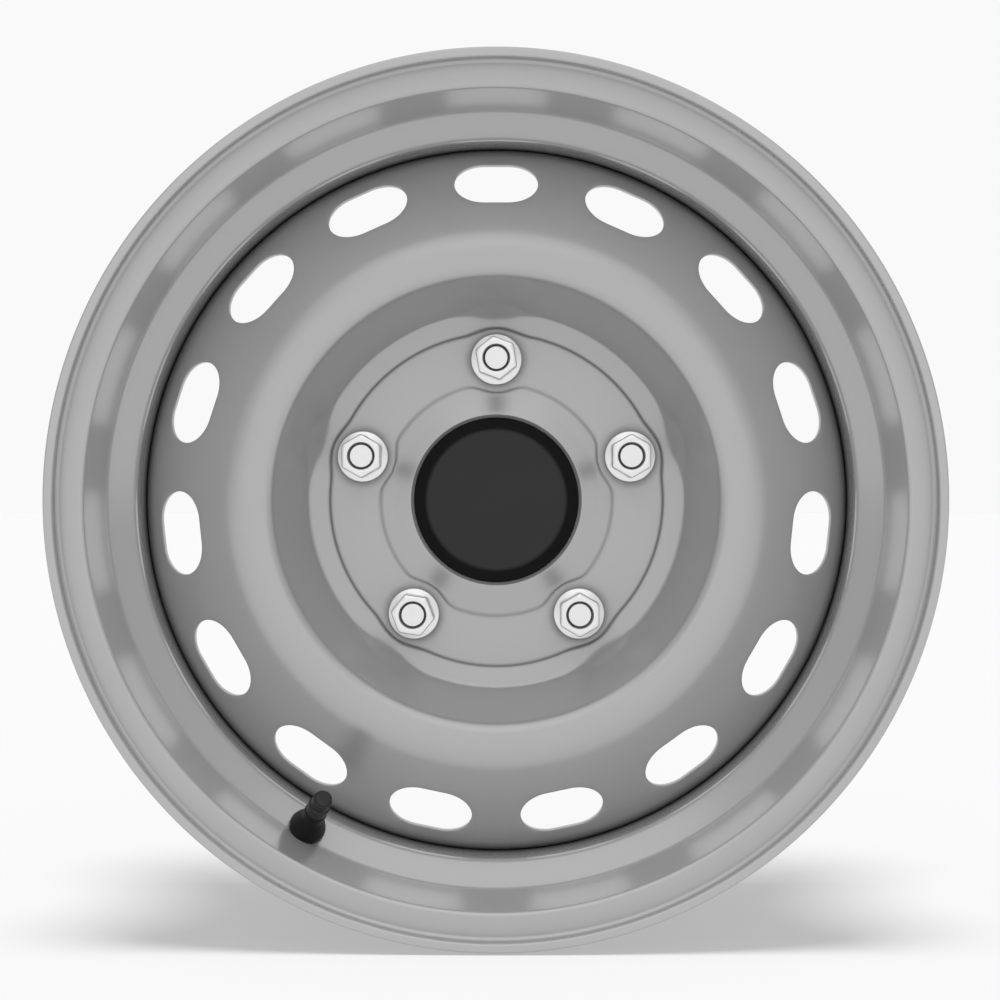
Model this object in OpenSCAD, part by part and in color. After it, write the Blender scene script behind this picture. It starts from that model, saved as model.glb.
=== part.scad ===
// Pressed steel road wheel: a rolled rim, a slotted disc welded into it, five nuts on studs,
// a centre cap and a snap-in tyre valve. It stands upright, its axis along Y, its street side
// facing -Y, and the origin is the centre of the wheel on the middle plane of the rim.

/* [Rim] */
// Diameter at the corner of bead seat and flange
bead_d = 380.2; // [354:0.1:406]
// Width between the two flange faces
rim_w = 152.4; // [146:0.1:180]
// Thickness of the rim's sheet
rim_t = 3.4; // [2.8:0.1:3.8]
// Height of the flange above the bead seat
flange_h = 17.2; // [16.6:0.1:18]
// Radius of the bend between flange and lip, on the tyre side
flange_r = 5.4; // [5:0.1:6]
// Reach of the lip past the flange's tyre face
lip_l = 13.5; // [12:0.1:15]
// Thickness of the lip at its cut edge
lip_t = 4.7; // [4:0.1:5.2]
// Radius of the corner that the tyre's bead sits in
heel_r = 4.2; // [3.4:0.1:5]
// Taper of the bead seats
seat_deg = 5; // [4:0.5:6]
// Length of the street-side bead seat
seat_l = 25; // [23:0.1:27]
// Length of the bead seat and ledge on the hub side
back_seat_l = 38; // [34:0.5:42]
// Depth of the well below the bead seat
well_h = 14.3; // [13.6:0.1:16]
// Angle of the wall between the street-side seat and the well
well_deg = 48; // [44:1:52]
// Distance of the well's rear end behind the mounting face
well_back = 6; // [4:0.5:12]
// Radius of the bend between the street-side seat and the slanted wall
seat_bend_r = 8; // [6:0.5:10]
// Radius of the bend at the foot of the slanted wall
well_bend_r = 1.5; // [1:0.1:2]
// Radius of the bend at the well's rear end
well_back_bend_r = 24; // [18:1:28]
// Radius of the bend between the well and the hub-side seat
back_bend_r = 16; // [12:1:20]
// Rounding of the lip's cut edge
lip_edge_r = 1.1; // [0.6:0.1:1.4]

/* [Disc] */
// Distance of the mounting face in front of the rim's middle plane
inset = 0; // [-3:0.5:4]
// Thickness of the disc's sheet
disc_t = 4.5; // [3.8:0.1:5]
// Radius of the centre bore
bore_r = 41.5; // [38:0.1:43]
// Height of the bore's edge above the mounting face
boss_h = 9.6; // [9:0.1:10.4]
// Radius of the middle of the flare round the bore
flare_r = 50.5; // [49:0.1:52]
// Height of the middle of the flare
flare_h = 6.6; // [6.2:0.1:7.2]
// Inner radius of the flat pad under the nuts
pad_in_r = 58.2; // [57:0.1:59]
// Height of the step between the flare's foot and the pad
foot_step_h = 0.8; // [0.6:0.1:1]
// Width of that step
foot_step_w = 1.8; // [1.6:0.1:2.2]
// Outer radius of the flat pad under the nuts
pad_out_r = 81.5; // [80:0.1:83]
// Height of the ledge above the pad
ledge_h = 1.6; // [1.4:0.1:1.8]
// Width of the step up to the ledge
ledge_run = 1.6; // [1.5:0.1:2]
// Width of the ledge, up to the foot of the steep wall
ledge_w = 10.1; // [9.1:0.1:11]
// How far the five flats stand in from the foot of the wall
flat_in = 2.6; // [2:0.1:3.2]
// Width of the steep wall, seen from the street
wall_w = 15.1; // [14:0.1:17]
// Width of the crown, up to its outer shoulder
crown_w = 18.3; // [16:0.1:20]
// Height of the crown's outer shoulder above the mounting face
crown_h = 44.8; // [42:0.1:46]
// Angle of the slope that carries the slots
slope_deg = 29.5; // [28:0.5:31]
// Radius of the bend from the slope into the skirt
skirt_bend_r = 9; // [7:0.5:11]
// Distance of the skirt's rear edge behind the mounting face
skirt_back = 3; // [1:0.5:3.5]
// Gap all round between the skirt and the rim
skirt_gap = 0.1; // [0.05:0.05:0.2]
// Rounding of the bore's street-side edge
bore_edge_r = 3; // [2.6:0.1:3.2]
// Radius of the bend in the flare
flare_bend_r = 14; // [10:0.5:18]
// Radius of the bend above the step at the flare's foot
foot_step_r = 1.2; // [0.9:0.1:1.5]
// Radius of the bend between that step and the pad
pad_in_bend_r = 2; // [1.5:0.1:2.5]
// Radius of the bend at the pad's outer edge
pad_out_bend_r = 0.5; // [0.3:0.1:0.6]
// Radius of the bend on the ledge
ledge_bend_r = 0.8; // [0.5:0.1:1]
// Rise of the ledge towards the wall
ledge_rise = 1.9; // [1.5:0.1:2.3]
// Radius of the bend at the foot of the steep wall
foot_bend_r = 2.5; // [2:0.1:3]
// Radius of the bend above the steep wall
crown_in_bend_r = 6; // [5:0.5:8]
// Radius of the crown's outer shoulder
crown_out_bend_r = 16; // [12:0.5:18]
// Drop of the crown's inner corner below its shoulder
crown_tilt = 0.5; // [0.2:0.1:0.8]
// Rounding of the skirt's cut edge
skirt_edge_r = 0.6; // [0.4:0.1:1]

/* [Slots] */
// Number of slots
slots = 15; // [12:1:15]
// Distance of the slots' centres from the axis
slot_ring_r = 153.6; // [151:0.1:155]
// Length of a slot, end to end
slot_l = 41.2; // [36:0.1:44]
// Width of a slot
slot_w = 19.4; // [16:0.1:20]

/* [Welds] */
// Number of weld runs behind the skirt
welds = 8; // [6:1:10]
// Angle that one run spans
weld_deg = 27; // [20:1:30]
// Leg of the weld's section
weld_leg = 4; // [3:0.1:4.2]

/* [Nuts and studs] */
// Number of studs
studs = 5; // [4:1:5]
// Diameter of the circle of studs
stud_pcd = 139.7; // [138:0.1:141]
// Diameter of the studs
stud_d = 12; // [11:0.1:12.5]
// Diameter of the studs' ends that screw into a hub
stud_hub_d = 14; // [12.6:0.1:14.4]
// Length of stud behind the mounting face
stud_back = 27; // [20:0.5:34]
// How deep the stud's end lies inside the nut
stud_recess = 1.6; // [0.8:0.1:2]
// Diameter of the plain point on the stud's end
stud_point_d = 11.3; // [10.6:0.1:11.6]
// Length of that point
stud_point_l = 3; // [2.4:0.1:3.6]
// Chamfer on the ends of the studs
stud_chamfer = 0.5; // [0.3:0.1:1]
// Radial gap between a stud and its nut
thread_gap = 0.05; // [0.02:0.01:0.1]
// Radial gap between a stud and the disc's hole
hole_gap = 1.4; // [1.2:0.1:1.6]
// Half angle of the coned seats
cone_deg = 30; // [28:1:32]
// Height of the plain hole below the coned seat
cone_floor = 1; // [0.6:0.1:1.4]
// Radius of the recess round each nut
pocket_r = 16.2; // [15.4:0.1:16.6]
// Width across the flats of the nuts
hex_af = 19; // [17:0.5:19]
// Height of the nuts above the pad
nut_h = 16; // [14:0.5:20]
// Radius of the nuts' flange
nut_flange_r = 12.6; // [12:0.1:13.2]
// Thickness of the flange at its edge
nut_flange_t = 2.2; // [1.6:0.1:2.6]
// Gap between the flange and the pad
nut_gap = 0.2; // [0.1:0.05:0.3]
// Radius of the open mouth above the nuts' thread
nut_mouth_r = 6.75; // [6.6:0.05:7]
// Depth of that mouth
nut_mouth_h = 2.6; // [2:0.1:3]

/* [Centre cap] */
// Radius of the cap's flat face
cap_face_r = 34.6; // [32:0.1:36]
// Height of the cap's face above the mounting face
cap_h = 13.2; // [12.6:0.1:14.4]
// Wall of the cap
cap_wall = 1.8; // [1.6:0.1:2.2]
// Radial gap between the cap and the bore
cap_gap = 0.3; // [0.2:0.05:0.5]
// Number of snap legs
cap_legs = 6; // [4:1:8]
// Angle that one leg spans
cap_leg_deg = 22; // [16:1:26]
// How far a leg's hook reaches past the bore
cap_hook = 0.9; // [0.7:0.1:1.2]

/* [Valve] */
// Place of the valve round the wheel, from +X towards +Z
valve_at = 240; // [237:1:243]
// Distance of the valve hole down the slanted wall, from the corner at its top
valve_drop = 5.3; // [5:0.1:6.5]
// Diameter of the valve hole
valve_hole_d = 11.3; // [10.8:0.1:11.8]
// Length of the valve outside the rim, with its cap
valve_l = 31.5; // [30:0.5:34]
// Radius of the bulge outside the rim
valve_bulge_r = 8.4; // [7.8:0.1:8.8]
// Radius of the rubber below the cap
valve_neck_r = 5.4; // [5:0.1:5.8]
// Length of the rubber outside the rim
valve_rubber_l = 18; // [16:0.5:19]
// Radius of the sealing foot inside the rim
valve_foot_r = 9.2; // [8.6:0.1:9.4]
// Length of the sealing foot inside the rim
valve_foot_l = 5.5; // [5:0.1:6.5]
// Radius of the stem's threaded end
stem_r = 3.85; // [3.6:0.05:4]
// Radius of the valve core's seat in the stem
core_r = 2.5; // [2.3:0.05:2.7]
// Length of the valve core
core_l = 13; // [11:0.5:15]
// Radius of the valve pin
pin_r = 0.7; // [0.6:0.05:0.8]
// Travel of the valve pin
pin_travel = 1.5; // [1:0.1:1.8]
// Radius of the valve's cap
valve_cap_r = 5.1; // [4.9:0.05:5.6]
// Thickness of the cap's end
valve_cap_end = 1.4; // [1:0.1:1.8]
// Number of grip ribs round the cap
valve_cap_ribs = 12; // [8:1:14]

/* [Hidden] */
$fn = 96;
// Largest turn between two points of a rounded corner
arc_step = 7;
eps = 0.01;

paint = [0.62, 0.63, 0.63];
zinc = [0.88, 0.88, 0.88];
black = [0.1, 0.1, 0.1];
brass = [0.8, 0.66, 0.36];

// Rim levels
flange_z = rim_w / 2;
bead_r = bead_d / 2;
lip_r = bead_r + flange_h;
well_out_r = bead_r - well_h;
well_in_r = well_out_r - rim_t;
seat_end_z = flange_z - seat_l;
seat_end_r = bead_r - seat_l * tan(seat_deg);
well_front_z = seat_end_z - (seat_end_r - well_out_r) / tan(well_deg);
lip_front_z = flange_z + lip_l;

// Disc levels, measured from the mounting face unless named _z
pad_h = disc_t;
stud_ring_r = stud_pcd / 2;
wall_foot_r = pad_out_r + ledge_run + ledge_w;
flat_r = wall_foot_r - flat_in;
crown_in_r = wall_foot_r + wall_w;
crown_out_r = crown_in_r + crown_w;
skirt_r = well_in_r - skirt_gap;
slope_drop = (skirt_r - crown_out_r) * tan(slope_deg);
flare_deg = atan((boss_h - flare_h) / (flare_r - bore_r));
bore_back_h = boss_h - disc_t / cos(flare_deg);
hole_r = stud_d / 2 + hole_gap;
seat_cone_r = hole_r + (pad_h - cone_floor) * tan(cone_deg);

// Nut and stud levels above the mounting face
nut_top = pad_h + nut_h;
stud_top = nut_top - stud_recess;
nut_bore_r = stud_d / 2 + thread_gap;
hex_r = hex_af / 2 / cos(30);

// Cap levels
cap_rim_r = bore_r - cap_gap;
cap_rim_h = boss_h - bore_edge_r - 2 * cap_gap;
cap_skirt_r = cap_rim_r - cap_wall;
cap_skirt_low = bore_back_h + cap_gap;
cap_leg_low = bore_back_h - 4.6;
cap_edge_r = 2.2;

// Valve levels along its own axis, from the street side of the slanted wall
stem_top = valve_l - valve_cap_end - 0.7;
cap_bottom = valve_rubber_l + 0.4;
stem_low = -rim_t - valve_foot_l + 1;
stem_shank_r = stem_r - 0.6;
core_top = stem_top - 1.6;
core_barrel_r = core_r - 0.7;
pin_collar_r = core_barrel_r - 0.55;
spring_low = core_top - core_l + 1.2;
spring_wire = 0.3;
spring_turns = 4;
spring_l = 4.2;
seal_t = 0.6;

// Geometry of rounded outlines
function unit(v) = v / norm(v);
function flat(p) = [p.x, p.y];
function turn(u, v) = atan2(u.x * v.y - u.y * v.x, u * v);
function swing(v, a) = [v.x * cos(a) - v.y * sin(a), v.x * sin(a) + v.y * cos(a)];

// The points of one corner [x, y, radius] between its neighbours a and b
function corner(a, p, b) =
    let (u = unit(flat(p) - flat(a)), v = unit(flat(b) - flat(p)), w = turn(u, v))
    p.z < eps || abs(w) < 1 ? [flat(p)] :
    let (start = flat(p) - u * p.z * tan(abs(w) / 2), n = ceil(abs(w) / arc_step))
    let (centre = start + sign(w) * p.z * [-u.y, u.x])
    [for (i = [0 : n]) centre + swing(start - centre, w * i / n)];

// A closed outline through corners [x, y, radius], without doubled points
function rounded(c) =
    let (n = len(c), p = [for (i = [0 : n - 1]) each corner(c[(i + n - 1) % n], c[i], c[(i + 1) % n])])
    [for (i = [0 : len(p) - 1]) if (norm(p[i] - p[(i + 1) % len(p)]) > eps) p[i]];

// The other side of a sheet, a thickness t to the right of its path of corners
function other_side(c, t) =
    let (n = len(c) - 1)
    [for (i = [0 : n])
        let (u = unit(flat(c[max(i, 1)]) - flat(c[max(i, 1) - 1])))
        let (v = unit(flat(c[min(i, n - 1) + 1]) - flat(c[min(i, n - 1)])))
        let (a = [u.y, -u.x], b = [v.y, -v.x], m = flat(c[i]) + t * (a + b) / (1 + a * b))
        [m.x, m.y, i == 0 || i == n ? c[i].z : max(c[i].z + sign(turn(u, v)) * t, 0)]];

function reversed(c) = [for (i = [len(c) - 1 : -1 : 0]) c[i]];

// Places of the wheel and of the valve
module upright() {
    rotate([90, 0, 0])
        children();
}

module on_hub() {
    upright()
        translate([0, 0, inset])
            children();
}

module at_studs() {
    for (i = [0 : studs - 1])
        rotate(90 + i * 360 / studs)
            translate([stud_ring_r, 0, 0])
                children();
}

module on_valve() {
    wall_top = other_side(rim_path(), rim_t)[len(flange_path(1))];
    upright()
        rotate(valve_at)
            translate([wall_top.x - valve_drop * sin(well_deg), 0, wall_top.y - valve_drop * cos(well_deg)])
                rotate([0, well_deg - 90, 0])
                    children();
}

// The lip and the flange down to the bead's corner, from the cut edge inwards
function flange_path(z) = [
    [lip_r, z * lip_front_z, lip_edge_r],
    [lip_r, z * flange_z, flange_r],
    [bead_r, z * flange_z, heel_r]];

function rim_path() = concat(
    flange_path(1),
    [[seat_end_r, seat_end_z, seat_bend_r],
     [well_out_r, well_front_z, well_bend_r],
     [well_out_r, inset - well_back, well_back_bend_r],
     [bead_r - back_seat_l * tan(seat_deg), back_seat_l - flange_z, back_bend_r]],
    reversed(flange_path(-1)));

// The street and hub sides of the section, thicker at the two cut edges
function rim_inside(path) =
    let (c = other_side(path, rim_t), n = len(c) - 1)
    [for (i = [0 : n]) i == 0 || i == n ? [lip_r - lip_t, path[i].y, lip_edge_r] : c[i]];

module rim() {
    path = rim_path();
    color(paint)
        difference() {
            upright()
                rotate_extrude()
                    polygon(rounded(concat(path, reversed(rim_inside(path)))));
            on_valve()
                translate([0, 0, -3 * rim_t])
                    cylinder(d = valve_hole_d, h = 6 * rim_t);
        }
}

// The street side of the disc from the bore outwards
function disc_path() = [
    [bore_r, boss_h, bore_edge_r],
    [flare_r, flare_h, flare_bend_r],
    [pad_in_r - foot_step_w, pad_h + foot_step_h, foot_step_r],
    [pad_in_r, pad_h, pad_in_bend_r],
    [pad_out_r, pad_h, pad_out_bend_r],
    [pad_out_r + ledge_run, pad_h + ledge_h, ledge_bend_r],
    [wall_foot_r, pad_h + ledge_h + ledge_rise, foot_bend_r],
    [crown_in_r, crown_h - crown_tilt, crown_in_bend_r],
    [crown_out_r, crown_h, crown_out_bend_r],
    [skirt_r, crown_h - slope_drop, skirt_bend_r],
    [skirt_r, -skirt_back, skirt_edge_r]];

// The sheet's section, cut off plumb at the bore
module disc_section() {
    path = disc_path();
    back = other_side(path, disc_t);
    polygon(rounded(concat(
        path,
        reversed([for (i = [1 : len(back) - 1]) back[i]]),
        [[bore_r, bore_back_h, skirt_edge_r]])));
}

// A flat that fills the round foot of the steep wall beside one nut
module wall_flat() {
    reach = 4;
    height = 9;
    sunk = 2;
    low = pad_h + 1;
    high = pad_h + ledge_h + height + sunk;
    lean = atan((wall_foot_r - flat_r + reach) / height);
    block = [40, 80, 60];
    intersection() {
        rotate_extrude()
            polygon([[flat_r - reach, low], [wall_foot_r + sunk, low],
                     [wall_foot_r + sunk + 0.4 * height, high], [flat_r - reach, high]]);
        translate([flat_r, 0, pad_h + ledge_h + 0.8 * ledge_rise])
            rotate([0, lean, 0])
                translate([0, -block.y / 2, -block.z / 3])
                    cube(block);
    }
}

module slot_cut() {
    half = (slot_l - slot_w) / 2;
    linear_extrude(2 * crown_h)
        union() {
            square([slot_w, 2 * half], center = true);
            for (s = [-1, 1])
                translate([0, s * half])
                    circle(d = slot_w);
        }
}

// The hole, its coned seat and the recess that a nut's flange turns in
module stud_hole() {
    clear = 8;
    rotate_extrude()
        polygon([[0, -clear], [hole_r, -clear], [hole_r, cone_floor], [seat_cone_r, pad_h],
                 [seat_cone_r, pad_h + eps], [pocket_r, pad_h + eps],
                 [pocket_r + clear, pad_h + clear], [0, pad_h + clear]]);
}

module wheel_disc() {
    color(paint)
        on_hub()
            difference() {
                union() {
                    rotate_extrude()
                        disc_section();
                    for (i = [0 : studs - 1])
                        rotate(90 + i * 360 / studs)
                            wall_flat();
                }
                at_studs()
                    stud_hole();
                for (i = [0 : slots - 1])
                    rotate(90 + i * 360 / slots)
                        translate([slot_ring_r, 0, 0])
                            slot_cut();
            }
}

// Fillet runs between the skirt's rear edge and the inside of the rim
module weld_beads() {
    outer = skirt_r;
    color(paint)
        on_hub()
            for (i = [0 : welds - 1])
                rotate(90 + (i + 0.5) * 360 / welds - weld_deg / 2)
                    rotate_extrude(angle = weld_deg)
                        polygon(rounded([
                            [outer, -skirt_back, 0],
                            [outer, -skirt_back - weld_leg, 0],
                            [outer - weld_leg * 0.75, -skirt_back - weld_leg * 0.75, weld_leg * 0.7],
                            [outer - weld_leg, -skirt_back, 0]]));
}

module lug_nut() {
    edge = 0.5;
    slope_h = 0.5;
    tip = 0.5;
    tip_h = 1;
    flange_low = pad_h + nut_gap;
    flange_top = flange_low + nut_flange_t;
    cone_low = cone_floor + nut_gap;
    difference() {
        union() {
            rotate_extrude()
                polygon([[0, cone_low], [hole_r - nut_gap, cone_low],
                         [seat_cone_r - nut_gap, pad_h + nut_gap], [nut_flange_r - edge, flange_low],
                         [nut_flange_r, flange_low + edge], [nut_flange_r, flange_top - edge],
                         [nut_flange_r - edge, flange_top], [hex_r - tip, flange_top + slope_h],
                         [0, flange_top + slope_h]]);
            intersection() {
                translate([0, 0, flange_low + edge])
                    cylinder(r = hex_r, h = nut_top - flange_low - edge, $fn = 6);
                rotate_extrude()
                    polygon([[0, flange_low], [hex_r + tip, flange_low], [hex_r + tip, nut_top - tip_h],
                             [hex_r - tip, nut_top], [0, nut_top]]);
            }
        }
        rotate_extrude()
            polygon([[0, 0], [nut_bore_r, 0], [nut_bore_r, nut_top - nut_mouth_h - nut_mouth_r + nut_bore_r],
                     [nut_mouth_r, nut_top - nut_mouth_h], [nut_mouth_r, nut_top + tip], [0, nut_top + tip]]);
    }
}

// Turn of each nut from a corner at the top, as it was tightened
function nut_turn(i) = [9, 0, 21, 0, 0][i % 5];

module lug_nuts() {
    color(zinc)
        on_hub()
            for (i = [0 : studs - 1])
                rotate(90 + i * 360 / studs)
                    translate([stud_ring_r, 0, 0])
                        rotate(nut_turn(i) - i * 360 / studs)
                            lug_nut();
}

module wheel_studs() {
    r = stud_d / 2;
    hub_r = stud_hub_d / 2;
    neck_r = r - 0.9;
    neck_top = -0.5;
    neck_low = -3.5;
    lead = 1.2;
    point_r = stud_point_d / 2;
    point_low = stud_top - stud_point_l;
    color(zinc)
        on_hub()
            at_studs()
                rotate_extrude()
                    polygon([[0, -stud_back], [hub_r - lead, -stud_back], [hub_r, -stud_back + lead],
                             [hub_r, neck_low - hub_r + neck_r], [neck_r, neck_low], [neck_r, neck_top],
                             [r, neck_top + r - neck_r], [r, point_low - r + point_r],
                             [point_r, point_low], [point_r, stud_top - stud_chamfer],
                             [point_r - stud_chamfer, stud_top], [0, stud_top]]);
}

// The cap's shell: face, sloping side, rim in the bore's mouth and a short skirt
module cap_shell() {
    rotate_extrude()
        polygon(rounded([
            [0, cap_h, 0],
            [cap_face_r, cap_h, cap_edge_r],
            [cap_rim_r, cap_rim_h + cap_wall / 2, cap_gap],
            [cap_rim_r, cap_skirt_low, 0],
            [cap_skirt_r, cap_skirt_low, 0],
            [cap_skirt_r, cap_rim_h - cap_gap, cap_gap],
            [cap_face_r - cap_wall / 2, cap_h - cap_wall, cap_wall],
            [0, cap_h - cap_wall, 0]]));
}

// A leg, thinner than the skirt that it grows from, with a hook behind the bore's edge
module cap_leg() {
    thin = 0.15;
    inner = cap_skirt_r + thin;
    outer = cap_rim_r - thin;
    hook_r = bore_r + cap_hook;
    hook_top = bore_back_h - 0.5;
    rotate(-cap_leg_deg / 2)
        rotate_extrude(angle = cap_leg_deg)
            polygon([[inner, cap_skirt_low + cap_wall / 2], [outer, cap_skirt_low + cap_wall / 2],
                     [outer, hook_top], [hook_r, hook_top - cap_hook], [hook_r, hook_top - 2 * cap_hook],
                     [inner + cap_wall / 3, cap_leg_low], [inner, cap_leg_low]]);
}

module centre_cap() {
    color(black)
        on_hub()
            union() {
                cap_shell();
                for (i = [0 : cap_legs - 1])
                    rotate(90 + i * 360 / cap_legs)
                        cap_leg();
            }
}

// Moulded rubber: sealing foot, groove in the rim's hole, bulge, taper and neck
module valve_body() {
    press = 0.1;
    bell_h = 5;
    neck_l = 6;
    hole_fit_r = valve_hole_d / 2 - press / 2;
    foot_top = -rim_t - press;
    foot_low = -rim_t - valve_foot_l;
    color(black)
        on_valve()
            difference() {
                rotate_extrude()
                    polygon(rounded([
                        [0, foot_low, 0],
                        [valve_foot_r - 1.6, foot_low, 1.2],
                        [valve_foot_r, foot_top - 2.2, 1.5],
                        [valve_foot_r - 1.4, foot_top, 0.6],
                        [hole_fit_r, foot_top, 0],
                        [hole_fit_r, press, 0],
                        [valve_bulge_r - 0.2, 5 * press, 4 * press],
                        [valve_bulge_r, bell_h / 2, 1],
                        [valve_bulge_r - 0.6, bell_h, 2],
                        [valve_neck_r, valve_rubber_l - neck_l, neck_l],
                        [valve_neck_r, valve_rubber_l, 0.6],
                        [0, valve_rubber_l, 0]]));
                translate([0, 0, stem_low])
                    cylinder(r = stem_shank_r, h = valve_l);
                translate([0, 0, foot_low - 1])
                    cylinder(r = stem_shank_r - 1, h = valve_l);
            }
}

module valve_stem() {
    thread_low = valve_rubber_l + 0.1;
    color(brass)
        on_valve()
            difference() {
                rotate_extrude()
                    polygon([[0, stem_low], [stem_shank_r, stem_low], [stem_shank_r, thread_low],
                             [stem_r, thread_low], [stem_r, stem_top - 0.5], [stem_r - 0.5, stem_top],
                             [0, stem_top]]);
                translate([0, 0, stem_low - 1])
                    cylinder(r = core_barrel_r + 0.1, h = valve_l - stem_low);
                translate([0, 0, core_top - 5])
                    cylinder(r = core_r + thread_gap, h = valve_l);
            }
}

// Core: threaded plug with its bridge slotted, and a barrel that guides the pin and its spring
module valve_core() {
    low = core_top - core_l;
    color(brass)
        on_valve()
            difference() {
                rotate_extrude()
                    polygon([[0, low], [core_barrel_r, low], [core_barrel_r, core_top - 4.9],
                             [core_r, core_top - 4.9], [core_r, core_top], [0, core_top]]);
                translate([0, 0, low - 1])
                    cylinder(r = pin_r + 0.1, h = core_l + 2);
                translate([0, 0, spring_low - 0.3])
                    cylinder(r = core_barrel_r - 0.4, h = spring_l + pin_travel + 2.2);
                for (s = [-1, 1])
                    translate([s * (core_r + 0.4) - 1.1, -core_r - 1, core_top - 1.6])
                        cube([2.2, 2 * core_r + 2, 2]);
            }
}

module valve_pin() {
    collar_low = spring_low + spring_l + 0.1;
    top = stem_top - 0.3;
    color(brass)
        on_valve()
            rotate_extrude()
                polygon([[0, spring_low - 2.2], [pin_r, spring_low - 2.2], [pin_r, collar_low],
                         [pin_collar_r, collar_low], [pin_collar_r, collar_low + 0.8],
                         [pin_r, collar_low + 0.8], [pin_r, top - 0.3], [pin_r - 0.3, top], [0, top]]);
}

// One ring of the wire's section at the angle a of the coil
function coil_ring(a, coil_r, rise, sides) = [
    for (k = [0 : sides - 1])
        let (b = k * 360 / sides, w = spring_wire / 2)
        [(coil_r + w * cos(b)) * cos(a), (coil_r + w * cos(b)) * sin(a), rise * a / 360 + w * sin(b)]];

module valve_spring() {
    sides = 6;
    steps = 14 * spring_turns;
    coil_r = pin_r + 0.15 + spring_wire;
    rise = (spring_l - spring_wire) / spring_turns;
    points = [for (i = [0 : steps]) each coil_ring(i * 360 * spring_turns / steps, coil_r, rise, sides)];
    walls = [for (i = [0 : steps - 1], k = [0 : sides - 1])
        let (n = (k + 1) % sides, a = i * sides, b = a + sides)
        [a + k, b + k, b + n, a + n]];
    ends = [[for (k = [0 : sides - 1]) k], [for (k = [sides - 1 : -1 : 0]) steps * sides + k]];
    color(zinc)
        on_valve()
            translate([0, 0, spring_low + spring_wire / 2])
                polyhedron(points, concat(walls, ends));
}

module valve_cap() {
    rib_d = 0.9;
    inner_top = valve_l - valve_cap_end;
    color(black)
        on_valve()
            difference() {
                union() {
                    rotate_extrude()
                        polygon(rounded([
                            [0, cap_bottom, 0],
                            [valve_cap_r, cap_bottom, 0.3],
                            [valve_cap_r - 0.4, valve_l, 1],
                            [0, valve_l, 0]]));
                    for (i = [0 : valve_cap_ribs - 1])
                        rotate(i * 360 / valve_cap_ribs)
                            translate([valve_cap_r - 0.35, 0, cap_bottom + 0.8])
                                cylinder(d = rib_d, h = valve_l - cap_bottom - 3.4);
                }
                translate([0, 0, cap_bottom - 1])
                    cylinder(r = stem_r + 0.25, h = inner_top - cap_bottom + 1);
            }
}

module valve_cap_seal() {
    color([0.35, 0.1, 0.08])
        on_valve()
            translate([0, 0, valve_l - valve_cap_end - seal_t])
                difference() {
                    cylinder(r = stem_r + 0.2, h = seal_t);
                    translate([0, 0, -1])
                        cylinder(r = core_r - 0.8, h = seal_t + 2);
                }
}

rim();
wheel_disc();
weld_beads();
lug_nuts();
wheel_studs();
centre_cap();
valve_body();
valve_stem();
valve_core();
valve_pin();
valve_spring();
valve_cap();
valve_cap_seal();
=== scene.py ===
"""Dresses the pressed steel wheel: finely rolled sheet, real bends, threads, paint and plating."""
import logging
import math
from dataclasses import dataclass, replace
from enum import Enum
from typing import Any, Callable, Iterable, Sequence

import bmesh
import bpy
from mathutils import Matrix, Vector


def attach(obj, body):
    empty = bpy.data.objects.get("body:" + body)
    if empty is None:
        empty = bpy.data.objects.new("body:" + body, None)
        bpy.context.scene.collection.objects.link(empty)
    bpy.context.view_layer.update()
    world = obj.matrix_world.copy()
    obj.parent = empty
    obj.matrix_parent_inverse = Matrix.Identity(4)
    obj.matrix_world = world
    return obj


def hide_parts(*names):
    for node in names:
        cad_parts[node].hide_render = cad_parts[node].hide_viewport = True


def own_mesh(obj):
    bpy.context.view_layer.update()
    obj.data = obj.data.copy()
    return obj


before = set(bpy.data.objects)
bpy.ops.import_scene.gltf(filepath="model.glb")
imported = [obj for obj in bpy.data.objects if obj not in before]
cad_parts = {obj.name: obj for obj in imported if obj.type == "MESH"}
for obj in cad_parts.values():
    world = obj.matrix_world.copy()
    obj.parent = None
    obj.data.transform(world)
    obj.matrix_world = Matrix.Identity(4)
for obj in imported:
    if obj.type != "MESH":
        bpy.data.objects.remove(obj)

LOG = logging.getLogger("wheel")
MM = 0.001
TURN = 2 * math.pi
# The wheel's own frame has its axis along z and its street side up; this stands it upright.
UPRIGHT = Matrix.Rotation(math.pi / 2, 4, "X")
MERGE_MM = 0.002
THREAD_FLANK = 0.42
Point = Vector
Object = bpy.types.Object
Vert = bmesh.types.BMVert


class Body(Enum):
    """The bodies that pieces ride on."""

    WHEEL = "wheel"
    VALVE_CAP = "valve_cap"


class Side(Enum):
    """The two faces of a pressed sheet."""

    STREET = 1
    HUB = -1


def smooth_min(a: float, b: float, blend: float) -> float:
    """Returns the lower of two heights, rounded over a blend length."""
    h = max(blend - abs(a - b), 0.0) / blend
    return min(a, b) - h * h * blend / 4


def smooth_max(a: float, b: float, blend: float) -> float:
    """Returns the higher of two heights, rounded over a blend length."""
    return -smooth_min(-a, -b, blend)


def clamp(value: float) -> float:
    """Returns a value held between 0 and 1."""
    return min(1.0, max(0.0, value))


def polar(co: Vector) -> tuple[float, float]:
    """Returns the radius and the angle of a point about the axis."""
    return math.hypot(co.x, co.y), math.atan2(co.y, co.x)


def thread_cut(co: Vector, pitch: float, depth: float) -> float:
    """Returns how deep a thread is cut at a point."""
    t = (co.z / pitch - polar(co)[1] / TURN) % 1.0
    return depth * max(0.0, 1 - abs(t - 0.5) / THREAD_FLANK)


def add(name: str, data: bpy.types.ID) -> Object:
    """Adds an object to the scene."""
    obj = bpy.data.objects.new(name, data)
    bpy.context.scene.collection.objects.link(obj)
    return obj


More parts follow.
